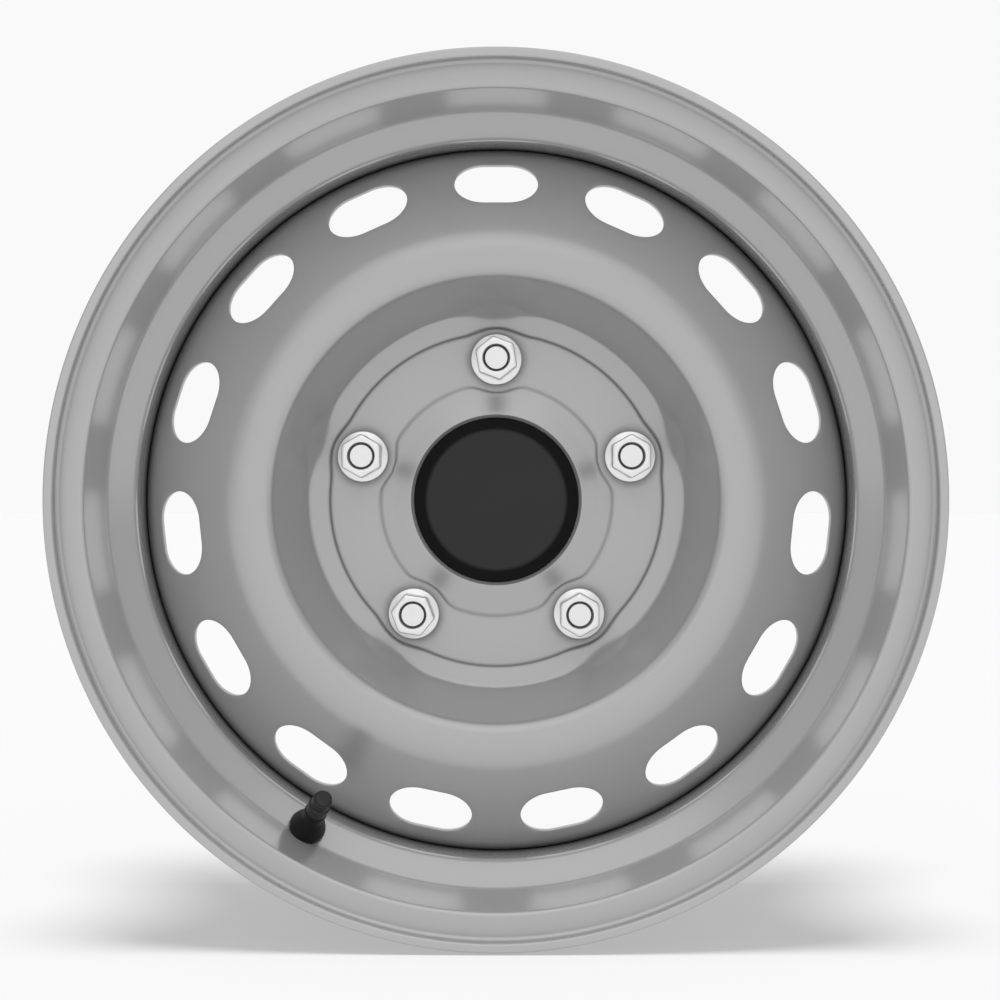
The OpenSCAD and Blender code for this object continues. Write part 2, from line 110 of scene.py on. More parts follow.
@dataclass(frozen=True)
class Bend:
    """One corner of a section, in millimetres from the axis and along it."""

    r: float
    z: float
    radius: float = 0.0

    @property
    def point(self) -> Point:
        """Returns the corner without its rounding."""
        return Vector((self.r, self.z))


def fillet(a: Bend, p: Bend, b: Bend, step_deg: float = 6.0) -> list[Point]:
    """Rounds one corner.

    Args:
        a: The corner before.
        p: The corner to round.
        b: The corner after.
        step_deg: Largest turn between two points; three times as much on a small rounding.

    Returns:
        The points of the rounding.
    """
    u = (p.point - a.point).normalized()
    v = (b.point - p.point).normalized()
    w = math.atan2(u.x * v.y - u.y * v.x, u.dot(v))
    if p.radius < 0.01 or abs(w) < 0.01:
        return [p.point]
    start = p.point - u * p.radius * math.tan(abs(w) / 2)
    centre = start + Vector((-u.y, u.x)) * math.copysign(p.radius, w)
    step = step_deg if p.radius > 1 else 3 * step_deg
    n = max(2, math.ceil(math.degrees(abs(w)) / step))
    return [centre + Matrix.Rotation(w * i / n, 2) @ (start - centre) for i in range(n + 1)]


def outline(bends: Sequence[Bend], closed: bool) -> list[Point]:
    """Rounds all corners of a section.

    Args:
        bends: The corners in order.
        closed: Whether the last corner joins the first.

    Returns:
        The section's points, without doubled ones.
    """
    n = len(bends)
    points: list[Point] = []
    for i, p in enumerate(bends):
        ends = not closed and i in (0, n - 1)
        for q in [p.point] if ends else fillet(bends[i - 1], p, bends[(i + 1) % n]):
            if not points or (q - points[-1]).length > MERGE_MM * 5:
                points.append(q)
    return points


def divided(points: Sequence[Point], longest: float, closed: bool = False) -> list[Point]:
    """Divides the long straight stretches of a section.

    Args:
        points: The section.
        longest: Longest stretch that is left whole.
        closed: Whether the last point joins the first.

    Returns:
        The section with more points.
    """
    out: list[Point] = []
    pairs = list(zip(points, points[1:]))
    if closed:
        pairs.append((points[-1], points[0]))
    for p, q in pairs:
        n = max(1, math.ceil((q - p).length / longest))
        out += [p.lerp(q, i / n) for i in range(n)]
    return out if closed else out + [points[-1]]


def other_side(bends: Sequence[Bend], thick: float) -> list[Bend]:
    """Offsets a path of corners to its right.

    Args:
        bends: One face of a sheet.
        thick: Thickness of the sheet.

    Returns:
        The corners of the other face.
    """
    last = len(bends) - 1
    out = []
    for i, p in enumerate(bends):
        k, m = max(i, 1), min(i, last - 1)
        u = (bends[k].point - bends[k - 1].point).normalized()
        v = (bends[m + 1].point - bends[m].point).normalized()
        a, b = Vector((u.y, -u.x)), Vector((v.y, -v.x))
        q = p.point + (a + b) * thick / (1 + a.dot(b))
        w = u.x * v.y - u.y * v.x
        radius = p.radius if i in (0, last) else max(p.radius + math.copysign(thick, w), 0.0)
        out.append(Bend(q.x, q.y, radius))
    return out


def height_at(points: Sequence[Point], r: float) -> float:
    """Returns the height of a section at a radius, from the first stretch that spans it."""
    for p, q in zip(points, points[1:]):
        if min(p.x, q.x) <= r <= max(p.x, q.x) and abs(q.x - p.x) > 1e-9:
            return p.y + (q.y - p.y) * (r - p.x) / (q.x - p.x)
    return points[-1].y if r > points[-1].x else points[0].y


def cut_at(points: Sequence[Point], radii: Sequence[float]) -> list[list[Point]]:
    """Cuts a section where it crosses given radii.

    Args:
        points: An open section.
        radii: Radii to cut at.

    Returns:
        The stretches between the cuts, each with its end points.
    """
    runs: list[list[Point]] = [[points[0]]]
    for p, q in zip(points, points[1:]):
        hits = [r for r in radii if min(p.x, q.x) < r < max(p.x, q.x)]
        for r in sorted(hits, key=lambda x: abs(x - p.x)):
            at = p.lerp(q, (r - p.x) / (q.x - p.x))
            runs[-1].append(at)
            runs.append([at])
        runs[-1].append(q)
    return runs


class Socket:
    """A value in a shader that takes Python arithmetic."""

    def __init__(self, tree: bpy.types.NodeTree, out: bpy.types.NodeSocket) -> None:
        """Wraps one output socket."""
        self.tree = tree
        self.out = out

    def math(self, operation: str, *values: "Socket | float") -> "Socket":
        """Adds a Math node.

        Args:
            operation: The node's operation.
            values: Its inputs in order.

        Returns:
            The result.
        """
        node = self.tree.nodes.new("ShaderNodeMath")
        node.operation = operation
        for place, value in zip(node.inputs, values):
            feed(place, value)
        return Socket(self.tree, node.outputs[0])

    def __add__(self, other: "Socket | float") -> "Socket":
        """Returns the sum."""
        return self.math("ADD", self, other)

    def __sub__(self, other: "Socket | float") -> "Socket":
        """Returns the difference."""
        return self.math("SUBTRACT", self, other)

    def __rsub__(self, other: float) -> "Socket":
        """Returns the difference from a number."""
        return self.math("SUBTRACT", other, self)

    def __mul__(self, other: "Socket | float") -> "Socket":
        """Returns the product."""
        return self.math("MULTIPLY", self, other)

    __radd__ = __add__
    __rmul__ = __mul__


def feed(place: bpy.types.NodeSocket, value: Any) -> None:
    """Links or sets one input socket."""
    if isinstance(value, Socket):
        value.tree.links.new(value.out, place)
    else:
        place.default_value = value


class Nodes:
    """Adds nodes to a tree."""

    def __init__(self, tree: bpy.types.NodeTree) -> None:
        """Takes the tree to add to."""
        self.tree = tree

    def node(self, kind: str, settings: dict[str, Any], inputs: dict[str, Any], out: int = 0) -> Socket:
        """Adds any node.

        Args:
            kind: The node's type.
            settings: Its own settings, which are set first.
            inputs: Values or links of its sockets.
            out: Which output to return.

        Returns:
            That output.
        """
        node = self.tree.nodes.new(kind)
        for key, value in settings.items():
            setattr(node, key, value)
        for key, value in inputs.items():
            feed(next(s for s in node.inputs if s.name == key and s.enabled), value)
        return Socket(self.tree, [s for s in node.outputs if s.enabled][out])


class Shader(Nodes):
    """Builds the nodes of one material."""

    def __init__(self, name: str) -> None:
        """Makes an empty material with its Principled shader."""
        self.material = bpy.data.materials.new(name)
        self.material.use_nodes = True
        super().__init__(self.material.node_tree)

    def surface(self, **inputs: Any) -> None:
        """Feeds the Principled shader; a name's underscores stand for spaces."""
        for key, value in inputs.items():
            feed(self.tree.nodes["Principled BSDF"].inputs[key.replace("_", " ")], value)


@dataclass(frozen=True)
class Finish:
    """A surface: its colour, gloss, mottling, fine grain and the painted shade in its recesses, creases and
    crevices.
    """

    name: str
    colour: tuple[float, float, float]
    roughness: float
    metallic: float = 0.0
    specular: float = 0.5
    coat: float = 0.0
    coat_roughness: float = 0.2
    mottle: float = 0.05
    mottle_m: float = 0.03
    gloss_spread: float = 0.06
    grain_m: float = 0.0012
    grain_depth_m: float = 0.00002
    # Colour that the painted shade darkens towards.
    painted_shade: tuple[float, float, float] = (0.01, 0.01, 0.01)
    slot: str = ""

    def noise(self, shader: Shader, size_m: float, detail: float) -> Socket:
        """Returns noise of a given size in metres on the piece's own coordinates."""
        at = shader.node("ShaderNodeTexCoord", {}, {}, 3)
        return shader.node("ShaderNodeTexNoise", {}, {"Vector": at, "Scale": 1 / size_m, "Detail": detail})

    def material(self) -> bpy.types.Material:
        """Builds the material with its nodes."""
        shader = Shader(self.name)
        cloud = self.noise(shader, self.mottle_m, 3.0)
        grain = self.noise(shader, self.grain_m, 2.0)
        # Painted shade: the layer's amount darkens the colour towards the shade colour, roughens it and takes
        # its metal away.
        painted_shade = shader.node("ShaderNodeAttribute", {"attribute_name": "painted_shade"}, {}, 2)
        dark = tuple(c * (1 - self.mottle) for c in self.colour) + (1.0,)
        pale = tuple(c * (1 + self.mottle) for c in self.colour) + (1.0,)
        mixed = {"data_type": "RGBA"}
        spots = cloud * 0.7 + grain * 0.3
        body = shader.node("ShaderNodeMix", mixed, {"Factor": spots, "A": dark, "B": pale})
        shade_inputs = {"Factor": painted_shade, "A": body, "B": self.painted_shade + (1.0,)}
        shaded_body = shader.node("ShaderNodeMix", mixed, shade_inputs)
        gloss = (cloud * 0.5 + grain * 0.5 - 0.5) * (2 * self.gloss_spread) + self.roughness
        relief = {"Height": grain, "Strength": 0.6, "Distance": self.grain_depth_m}
        bump = shader.node("ShaderNodeBump", {}, relief)
        shader.surface(
            Base_Color=shaded_body, Roughness=gloss + painted_shade * 0.3, Metallic=self.metallic * (1 - painted_shade),
            Specular_IOR_Level=self.specular, Coat_Weight=self.coat, Coat_Roughness=self.coat_roughness,
            Normal=bump)
        return shader.material


class Finishes:
    """The finishes of the wheel, made once each."""

    PAINT = Finish("wheel_paint", (0.44, 0.44, 0.44), 0.24, metallic=0.48,
                   mottle=0.035, mottle_m=0.045, grain_m=0.0011, grain_depth_m=0.000004)
    # The disc's paint is the rim's paint in the same slot, rougher, and a little darker as painted shade for
    # the deep dish.
    PRESSED = replace(PAINT, name="disc_paint", slot="wheel_paint", colour=(0.425, 0.425, 0.425),
                      roughness=0.31)
    WELD = Finish("weld_paint", (0.36, 0.365, 0.37), 0.45, coat=0.15, mottle=0.12, mottle_m=0.004)
    ZINC = Finish("zinc_plate", (0.82, 0.82, 0.82), 0.3, metallic=1.0, mottle=0.03, mottle_m=0.006,
                  grain_m=0.0005, grain_depth_m=0.000004)
    STUD = Finish("stud_steel", (0.8, 0.8, 0.8), 0.32, metallic=1.0, mottle=0.03, mottle_m=0.005,
                  grain_m=0.0004, grain_depth_m=0.000004)
    CAP = Finish("black_plastic", (0.028, 0.028, 0.028), 0.2, specular=0.12, mottle=0.08, mottle_m=0.02,
                 grain_m=0.0009, grain_depth_m=0.000012, painted_shade=(0.003, 0.003, 0.003))
    RUBBER = Finish("valve_rubber", (0.004, 0.004, 0.0042), 0.45, specular=0.25, mottle=0.15, mottle_m=0.006,
                    grain_m=0.0006, grain_depth_m=0.00001)
    BRASS = Finish("valve_brass", (0.72, 0.5, 0.22), 0.28, metallic=1.0, mottle=0.06, mottle_m=0.003)
    SPRING = Finish("spring_steel", (0.6, 0.6, 0.61), 0.3, metallic=1.0, mottle=0.05, mottle_m=0.002)
    VALVE_CAP = Finish("cap_plastic", (0.006, 0.006, 0.0065), 0.36, mottle=0.1, mottle_m=0.004,
                       grain_m=0.0005, grain_depth_m=0.000006)
    SEAL = Finish("seal_rubber", (0.22, 0.04, 0.03), 0.6, mottle=0.1, mottle_m=0.003)

    made: dict[str, bpy.types.Material] = {}

    @classmethod
    def of(cls, finish: Finish) -> bpy.types.Material:
        """Returns the material of a finish, made at its first use."""
        if finish.name not in cls.made:
            cls.made[finish.name] = finish.material()
        return cls.made[finish.name]


class Shape:
    """A mesh under way, in millimetres in the wheel's own frame."""

    def __init__(self) -> None:
        """Starts an empty mesh with a layer for painted shade."""
        self.bm = bmesh.new()
        self.painted_shade = self.bm.verts.layers.float.new("painted_shade")

    def spin(self, points: Sequence[Point], steps: int, closed: bool = False, angle: float = TURN,
             start: float = 0.0, rise: float = 0.0) -> list[Vert]:
        """Turns a section about the axis.

        Args:
            points: The section.
            steps: Number of steps of the turn.
            closed: Whether the section's last point joins its first.
            angle: How far it turns.
            start: Where the turn starts.
            rise: Rise along the axis of a whole coil.

        Returns:
            The vertices that were made.
        """
        part = bmesh.new()
        turn = Matrix.Rotation(start, 4, "Z")
        verts = [part.verts.new(turn @ Vector((p.x, 0, p.y))) for p in points]
        pairs = list(zip(verts, verts[1:]))
        if closed:
            pairs.append((verts[-1], verts[0]))
        edges = [part.edges.new(pair) for pair in pairs]
        folds = next((k for k in (12, 8, 6, 4) if angle == TURN and rise == 0 and steps % k == 0), 1)
        bmesh.ops.spin(
            part, geom=verts + edges, cent=(0, 0, 0), axis=(0, 0, 1), dvec=(0, 0, rise / steps),
            angle=angle / folds, steps=steps // folds, use_merge=False, use_duplicate=False)
        return self.join(part, (Matrix.Rotation(TURN * k / folds, 4, "Z") for k in range(folds)))

    def join(self, part: bmesh.types.BMesh, places: Iterable[Matrix]) -> list[Vert]:
        """Adds copies of another mesh to this one and frees it.

        Args:
            part: The other mesh.
            places: Where its copies go.

        Returns:
            The vertices of the copies.
        """
        old = len(self.bm.verts)
        data = bpy.data.meshes.new("part")
        for place in places:
            part.to_mesh(data)
            data.transform(place)
            self.bm.from_mesh(data)
        bpy.data.meshes.remove(data)
        part.free()
        self.bm.verts.ensure_lookup_table()
        return self.bm.verts[old:]

    def grid(self, columns: int, rows: int, place: Callable[[int, int], Vector]) -> list[Vert]:
        """Lays a grid of quads.

        Args:
            columns: Quads along the grid.
            rows: Quads across it.
            place: Gives the place of each column and row.

        Returns:
            The grid's vertices.
        """
        part = bmesh.new()
        for v in bmesh.ops.create_grid(part, x_segments=columns, y_segments=rows, size=1.0)["verts"]:
            v.co = place(round((v.co.x + 1) / 2 * columns), round((v.co.y + 1) / 2 * rows))
        return self.join(part, [Matrix.Identity(4)])

    def fill(self) -> None:
        """Merges doubled points and closes the open ends."""
        bmesh.ops.remove_doubles(self.bm, verts=self.bm.verts[:], dist=MERGE_MM)
        edges = [e for e in self.bm.edges if e.is_boundary]
        bmesh.ops.holes_fill(self.bm, edges=edges, sides=0)

    def piece(self, name: str, node: str, finish: Finish, body: Body = Body.WHEEL, place: Matrix = UPRIGHT,
              sharp_deg: float = 40.0) -> Object:
        """Closes the mesh and finishes it in metres, as a piece that stands for a node.

        Args:
            name: The piece's name.
            node: The node it stands for.
            finish: Its surface.
            body: The body it rides on.
            place: Where it goes, in millimetres.
            sharp_deg: Angle from which an edge is sharp.

        Returns:
            The piece.
        """
        bmesh.ops.remove_doubles(self.bm, verts=self.bm.verts[:], dist=MERGE_MM)
        bmesh.ops.recalc_face_normals(self.bm, faces=self.bm.faces[:])
        bmesh.ops.transform(self.bm, matrix=Matrix.Scale(MM, 4) @ place, verts=self.bm.verts[:])
        obj = add(name, bpy.data.meshes.new(name))
        self.bm.to_mesh(obj.data)
        self.bm.free()
        obj.data.shade_smooth()
        obj.data.set_sharp_from_angle(angle=math.radians(sharp_deg))
        obj.data.materials.append(Finishes.of(finish))
        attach(obj, body.value)
        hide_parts(node)
        finish.slot or finish.name
        LOG.info("%s: %d faces on %s", name, len(obj.data.polygons), body.value)
        return obj


@dataclass(frozen=True)
class Row:
    """One ring round a hole: its share of the way to the band's edge, its offset, side and lift."""

    out: float
    offset: float
    side: Side
    lift: float = 0.0


@dataclass(frozen=True)
class PiercedBand:
    """A ring of sheet with a row of holes, laid out as one patch of quads for each hole."""

    count: int
    inner_r: float
    outer_r: float
    hole_r: float
    hole: tuple[Point, ...]
    rows: tuple[Row, ...]
    first_deg: float = 90.0
    side_points: int = 24

    def edge(self, steps: int) -> list[Point]:
        """Lists the points of the patch's outer edge, from the middle of its inner side.

        Args:
            steps: Steps of one patch along the band, an even number.

        Returns:
            The angle of each from the patch's middle, in radians, and its radius.
        """
        half, across = math.pi / self.count, self.side_points + 1
        corners = [Vector((t * half, r)) for t, r in (
            (0, self.inner_r), (1, self.inner_r), (1, self.outer_r),
            (-1, self.outer_r), (-1, self.inner_r), (0, self.inner_r))]
        counts = (steps // 2, across, steps, across, steps // 2)
        return [p.lerp(q, i / n) for p, q, n in zip(corners, corners[1:], counts) for i in range(n)]

    def rim_of_hole(self, total: int) -> tuple[list[Point], list[Point]]:
        """Spaces points evenly round the hole.

        Args:
            total: Number of points.

        Returns:
            The points, along the band and away from the axis, and their outward directions.
        """
        loop = list(self.hole) + [self.hole[0]]
        reach = [0.0]
        for p, q in zip(loop, loop[1:]):
            reach.append(reach[-1] + (q - p).length)
        points = []
        k = 0
        for i in range(total):
            want = reach[-1] * i / total
            while reach[k + 1] < want:
                k += 1
            points.append(loop[k].lerp(loop[k + 1], (want - reach[k]) / (reach[k + 1] - reach[k])))
        outward = []
        for i in range(total):
            along = (points[(i + 1) % total] - points[i - 1]).normalized()
            outward.append(Vector((along.y, -along.x)))
        return points, outward

    def lay(self, shape: Shape, steps: int, faces: dict[Side, Sequence[Point]]) -> None:
        """Adds all patches to a shape.

        Args:
            shape: The mesh to add to.
            steps: Steps of one patch along the band.
            faces: Sections of the sheet's two faces.
        """
        edge = self.edge(steps)
        total = len(edge)
        hole, outward = self.rim_of_hole(total)
        for n in range(self.count):
            middle = math.radians(self.first_deg + 360 * n / self.count)
            away = Vector((math.cos(middle), math.sin(middle)))
            along = Vector((-away.y, away.x))

            def place(column: int, row: int) -> Vector:
                """Returns the place of one point of the patch."""
                i, at = column % total, self.rows[row]
                angle, radius = edge[i]
                near = hole[i] + outward[i] * at.offset
                start = away * (self.hole_r + near.y) + along * near.x
                end = Vector((math.cos(middle + angle), math.sin(middle + angle))) * radius
                flat = start.lerp(end, at.out)
                return Vector((flat.x, flat.y, height_at(faces[at.side], flat.length) + at.lift))

            shape.grid(total, len(self.rows) - 1, place)


@dataclass
class Rim:
    """The rolled rim: flanges, bead seats and drop well in one sheet."""

    bead_r: float = 190.1
    width: float = 152.4
    thick: float = 3.4
    flange_h: float = 17.2
    flange_r: float = 5.4
    lip_l: float = 13.5
    lip_t: float = 4.7
    heel_r: float = 4.2
    heel_out: float = 3.4
    heel_edge_r: float = 2.0
    seat_deg: float = 5.0
    seat_l: float = 25.0
    back_seat_l: float = 38.0
    well_h: float = 14.3
    well_deg: float = 48.0
    well_back: float = 6.0
    seat_bend_r: float = 8.0
    well_bend_r: float = 1.5
    well_back_bend_r: float = 24.0
    back_bend_r: float = 16.0
    lip_edge_r: float = 1.1
    # Painted shade in the crevice between the well and the disc: where it starts along the axis, how far it
    # fades, its low end and its darkest.
    crevice_z: float = 31.0
    crevice_w: float = 15.0
    crevice_low: float = 10.0
    crevice_shade_most: float = 0.92
    longest: float = 4.5
    steps: int = 288

    @property
    def well_in_r(self) -> float:
        """Returns the inner radius of the well."""
        return self.bead_r - self.well_h - self.thick

    def flange(self, z: int) -> list[Bend]:
        """Returns the corners of one flange from its edge inwards; z is its side."""
        lip_r = self.bead_r + self.flange_h
        face = self.width / 2
        return [
            Bend(lip_r, z * (face + self.lip_l), self.lip_edge_r),
            Bend(lip_r, z * face, self.flange_r),
            Bend(self.bead_r, z * face, self.heel_r)]

    def path(self) -> list[Bend]:
        """Returns the corners of the tyre side, from the street to the hub."""
        face, taper = self.width / 2, math.tan(math.radians(self.seat_deg))
        seat_z, seat_r = face - self.seat_l, self.bead_r - self.seat_l * taper
        well_r = self.bead_r - self.well_h
        front_z = seat_z - (seat_r - well_r) / math.tan(math.radians(self.well_deg))
        lip, face_edge, heel = self.flange(1)
        return [lip, face_edge, Bend(heel.r + self.heel_out, heel.z, heel.radius)] + [
            Bend(seat_r, seat_z, self.seat_bend_r),
            Bend(well_r, front_z, self.well_bend_r),
            Bend(well_r, -self.well_back, self.well_back_bend_r),
            Bend(self.bead_r - self.back_seat_l * taper, self.back_seat_l - face, self.back_bend_r),
        ] + self.flange(-1)[::-1]

    def build(self) -> Object:
        """Spins the section and returns the piece."""
        path = self.path()
        inside = other_side(path, self.thick)
        heel = 2
        inside[heel] = replace(inside[heel], radius=self.heel_edge_r)
        for end in (0, -1):
            inside[end] = Bend(path[end].r - self.lip_t, path[end].z, self.lip_edge_r)
        section = outline(path + inside[::-1], True)
        shape = Shape()
        for v in shape.spin(divided(section, self.longest, True), self.steps, True):
            # Paints shade into the crevice between the well and the disc.
            v[shape.painted_shade] = self.crevice_shade(polar(v.co)[0], v.co.z)
        return shape.piece("rolled_rim", "rim", Finishes.PAINT)

    def crevice_shade(self, r: float, z: float) -> float:
        """Returns how dark the painted shade in the crevice between the well and the disc is at a point."""
        inside = r < self.well_in_r + 1.0 and z > self.crevice_low
        return self.crevice_shade_most * clamp((self.crevice_z - z) / self.crevice_w) if inside else 0.0


@dataclass
class Disc:
    """The pressed disc: flared bore, pad with coned holes, ledge, wall, crown, slots and skirt."""

    thick: float = 4.5
    bore_r: float = 41.5
    boss_h: float = 9.6
    flare_r: float = 50.5
    flare_h: float = 6.6
    pad_in_r: float = 58.2
    foot_step_h: float = 0.8
    foot_step_w: float = 1.8
    pad_out_r: float = 82.3
    ledge_h: float = 1.6
    ledge_run: float = 0.9
    ledge_rise: float = 1.9
    foot_r: float = 93.2
    flat_r: float = 90.6
    flat_lean: float = 0.733
    crown_in_r: float = 108.3
    crown_out_r: float = 124.1
    crown_h: float = 44.8
    slope_deg: float = 28.2
    skirt_r: float = 172.3
    skirt_back: float = 3.0
    studs: int = 5
    stud_ring_r: float = 69.85
    hole_r: float = 7.4
    cone_floor: float = 1.0
    cone_deg: float = 30.0
    pocket_out_r: float = 14.8
    pocket_in_r: float = 16.2
    pocket_blend: float = 5.0
    # Painted shade round each nut: its reach, its fade and its darkest.
    nut_shade_r: float = 17.6
    nut_shade_w: float = 5.0
    nut_shade_most: float = 0.5
    # Painted reflection of each nut, a soft dark spot on the flare between the nut and the bore: its radius,
    # its width and its darkest.
    reflection_r: float = 47.6
    reflection_w: float = 5.2
    reflection_most: float = 0.36
    # Painted shade along the creases of the steps beside the pad: the outer darkest, the inner darkest and
    # the width.
    crease_shade_most: float = 0.5
    inner_crease_shade_most: float = 0.2
    crease_shade_w: float = 0.9
    inner_rise: float = 2.5
    inner_round: float = 0.3
    fade_from: float = 3.5
    fade_w: float = 5.5
    flat_low: float = 0.8
    flat_round: float = 1.4
    slots: int = 15
    slot_ring_r: float = 153.6
    slot_straight: float = 5.8
    slot_end: float = 14.6
    slot_half_w: float = 9.7
    slot_points: int = 48
    slot_rings: tuple[float, ...] = (1.0, 0.6, 0.25, 0.0)
    hole_points: int = 96
    hole_rings: tuple[float, ...] = (1.0, 0.8, 0.6, 0.45, 0.3, 0.2, 0.1, 0.0)
    edge_r: float = 0.45
    bore_lip: float = 0.6
    bore_drop: float = 3.0
    bore_bevel: float = 0.9
    pad_band: tuple[float, float] = (59.0, 80.9)
    slot_band: tuple[float, float] = (137.0, 166.5)
    ledge_r: float = 88.5
    wall_r: float = 99.0
    boss_w: float = 4.0
    longest: float = 4.0
    # Longest stretch of each pressed run from the bore outwards; the second run is pierced.
    pressed_longest: tuple[float, ...] = (0.6, 0.0, 0.5, 1.5)
    pierced: tuple[int, ...] = (1, 5)
    # A multiple of 60, so that the rings' points meet those of the pierced bands.
    steps: int = 300

    def street_path(self) -> list[Bend]:
        """Returns the corners of the street side from the bore outwards."""
        pad_h, ledge = self.thick, self.thick + self.ledge_h
        drop = (self.skirt_r - self.crown_out_r) * math.tan(math.radians(self.slope_deg))
        return [
            Bend(self.bore_r - self.bore_lip, self.boss_h - self.bore_drop, 0.5),
            Bend(self.bore_r + self.bore_bevel, self.boss_h - self.bore_bevel, 0.3),
            Bend(self.flare_r, self.flare_h, 14),
            Bend(self.pad_in_r - self.foot_step_w, pad_h + self.foot_step_h, 1.2),
            Bend(self.pad_in_r, pad_h, 2),
            Bend(self.pad_out_r, pad_h, 0.2),
            Bend(self.pad_out_r + self.ledge_run, ledge, 0.6),
            Bend(self.foot_r, ledge + self.ledge_rise, 2.5),
            Bend(self.crown_in_r, self.crown_h - 0.5, 6),
            Bend(self.crown_out_r, self.crown_h, 25),
            Bend(self.skirt_r, self.crown_h - drop, 9),
            Bend(self.skirt_r, -self.skirt_back, 0.6)]

    def section(self) -> list[Point]:
        """Returns the closed section, from the bore outwards on the street side and back."""
        street = self.street_path()
        flare = math.atan((self.boss_h - self.flare_h) / (self.flare_r - self.bore_r))
        bore_back = Bend(self.bore_r - self.bore_lip, self.boss_h - self.thick / math.cos(flare), 0.3)
        return outline(street + other_side(street, self.thick)[:0:-1] + [bore_back], True)

    def slot_outline(self) -> tuple[Point, ...]:
        """Returns the slot's outline from the middle of its inner side, its ends half ellipses."""
        loop = [Vector((0, -self.slot_half_w))]
        for side, first in ((1, -90), (-1, 90)):
            for i in range(self.slot_points + 1):
                a = math.radians(first + 180 * i / self.slot_points)
                loop.append(Vector((side * self.slot_straight + self.slot_end * math.cos(a),
                                    self.slot_half_w * math.sin(a))))
        return tuple(loop)

    def slot_rows(self) -> tuple[Row, ...]:
        """Returns the rings of a slot, with its punched edges rounded."""
        e, turns = self.edge_r, (0.52, 1.05, 1.57)
        street = [Row(t, e, Side.STREET) for t in self.slot_rings]
        turn = [Row(0, e * (1 - math.sin(a)), Side.STREET, e * (math.cos(a) - 1)) for a in turns]
        back = [Row(0, e * (1 - math.sin(a)), Side.HUB, e * (1 - math.cos(a))) for a in turns[::-1]]
        return tuple(street + turn + back + [Row(t, e, Side.HUB) for t in (0.0, 0.5, 1.0)])

    def hole_rows(self) -> tuple[Row, ...]:
        """Returns the rings of a stud hole with its coned seat."""
        reach = (self.thick - self.cone_floor) * math.tan(math.radians(self.cone_deg))
        street = [Row(t, reach + 0.4, Side.STREET) for t in self.hole_rings]
        cone = [Row(0, reach, Side.STREET, -0.1), Row(0, 0.0, Side.HUB, self.cone_floor),
                Row(0, 0.0, Side.HUB, 0.3)]
        return tuple(street + cone + [Row(t, 0.3, Side.HUB) for t in (0.0, 0.3, 0.65, 1.0)])

    def by_nut(self, co: Vector) -> tuple[float, float, float]:
        """Returns a point's radius, its reach towards the nearest nut and its distance from that nut."""
        r, angle = polar(co)
        angle, pitch = angle - math.pi / 2, TURN / self.studs
        angle -= pitch * round(angle / pitch)
        x, y = r * math.cos(angle), r * math.sin(angle)
        return r, x, math.hypot(x - self.stud_ring_r, y)

    def shade_and_reflection(self, co: Vector) -> float:
        """Gives how dark the painted shade and painted reflections make a point of the street side.

        Args:
            co: The point.

        Returns:
            The most of the painted shade round the nuts, the painted reflections of the nuts as soft spots by
            the bore and the painted shade along the steps' creases.
        """
        if co.z <= self.thick - 0.5:
            return 0.0
        r, x, away = self.by_nut(co)
        near = clamp((self.nut_shade_r - away) / self.nut_shade_w)
        # Painted reflection of the nut on the flare.
        across = math.sqrt(max(0.0, r * r - x * x)) / self.reflection_w
        along = (r - self.reflection_r) / self.reflection_w
        spot = self.reflection_most * math.exp(-across ** 2 - along ** 4)
        # Painted shade along the creases of the steps round the pad.
        foot = smooth_min(r - self.pad_out_r, away - self.pocket_out_r, self.pocket_blend)
        inner = smooth_min(self.pad_in_r - r, away - self.pocket_in_r, self.pocket_blend)
        outer_crease_shade = self.crease_shade_most * math.exp(-((foot - 0.3) / self.crease_shade_w) ** 2)
        inner_crease_shade = self.inner_crease_shade_most * math.exp(-((inner - 0.2) / self.crease_shade_w) ** 2)
        return max(self.nut_shade_most * near * near, spot, outer_crease_shade, inner_crease_shade)

    def emboss(self, street: Sequence[Point], co: Vector) -> float:
        """Leads the steps beside the pad round the nuts and presses the flats at the foot of the wall.

        Args:
            street: Section of the street side.
            co: A point of the street side.

        Returns:
            Its new height.
        """
        r, x, away = self.by_nut(co)
        if r < self.stud_ring_r:
            inside = smooth_min(self.pad_in_r - r, away - self.pocket_in_r, self.pocket_blend)
            top = self.thick + self.inner_rise * max(0.0, inside)
            return max(self.thick, smooth_min(co.z, top, self.inner_round))
        beyond = r - self.pad_out_r
        near = self.pad_out_r + smooth_min(beyond, away - self.pocket_out_r, self.pocket_blend)
        fade = clamp((beyond - self.fade_from) / self.fade_w)
        z = height_at(street, near + (r - near) * fade * fade * (3 - 2 * fade))
        low = self.thick + self.ledge_h + self.flat_low * self.ledge_rise
        return smooth_max(z, low + (x - self.flat_r) / self.flat_lean, self.flat_round)

    def build(self) -> Object:
        """Spins the plain rings, lays the pierced ones between them and returns the piece."""
        section = self.section()
        half = max(range(len(section)), key=lambda i: section[i].x - section[i].y)
        street = section[:half + 1]
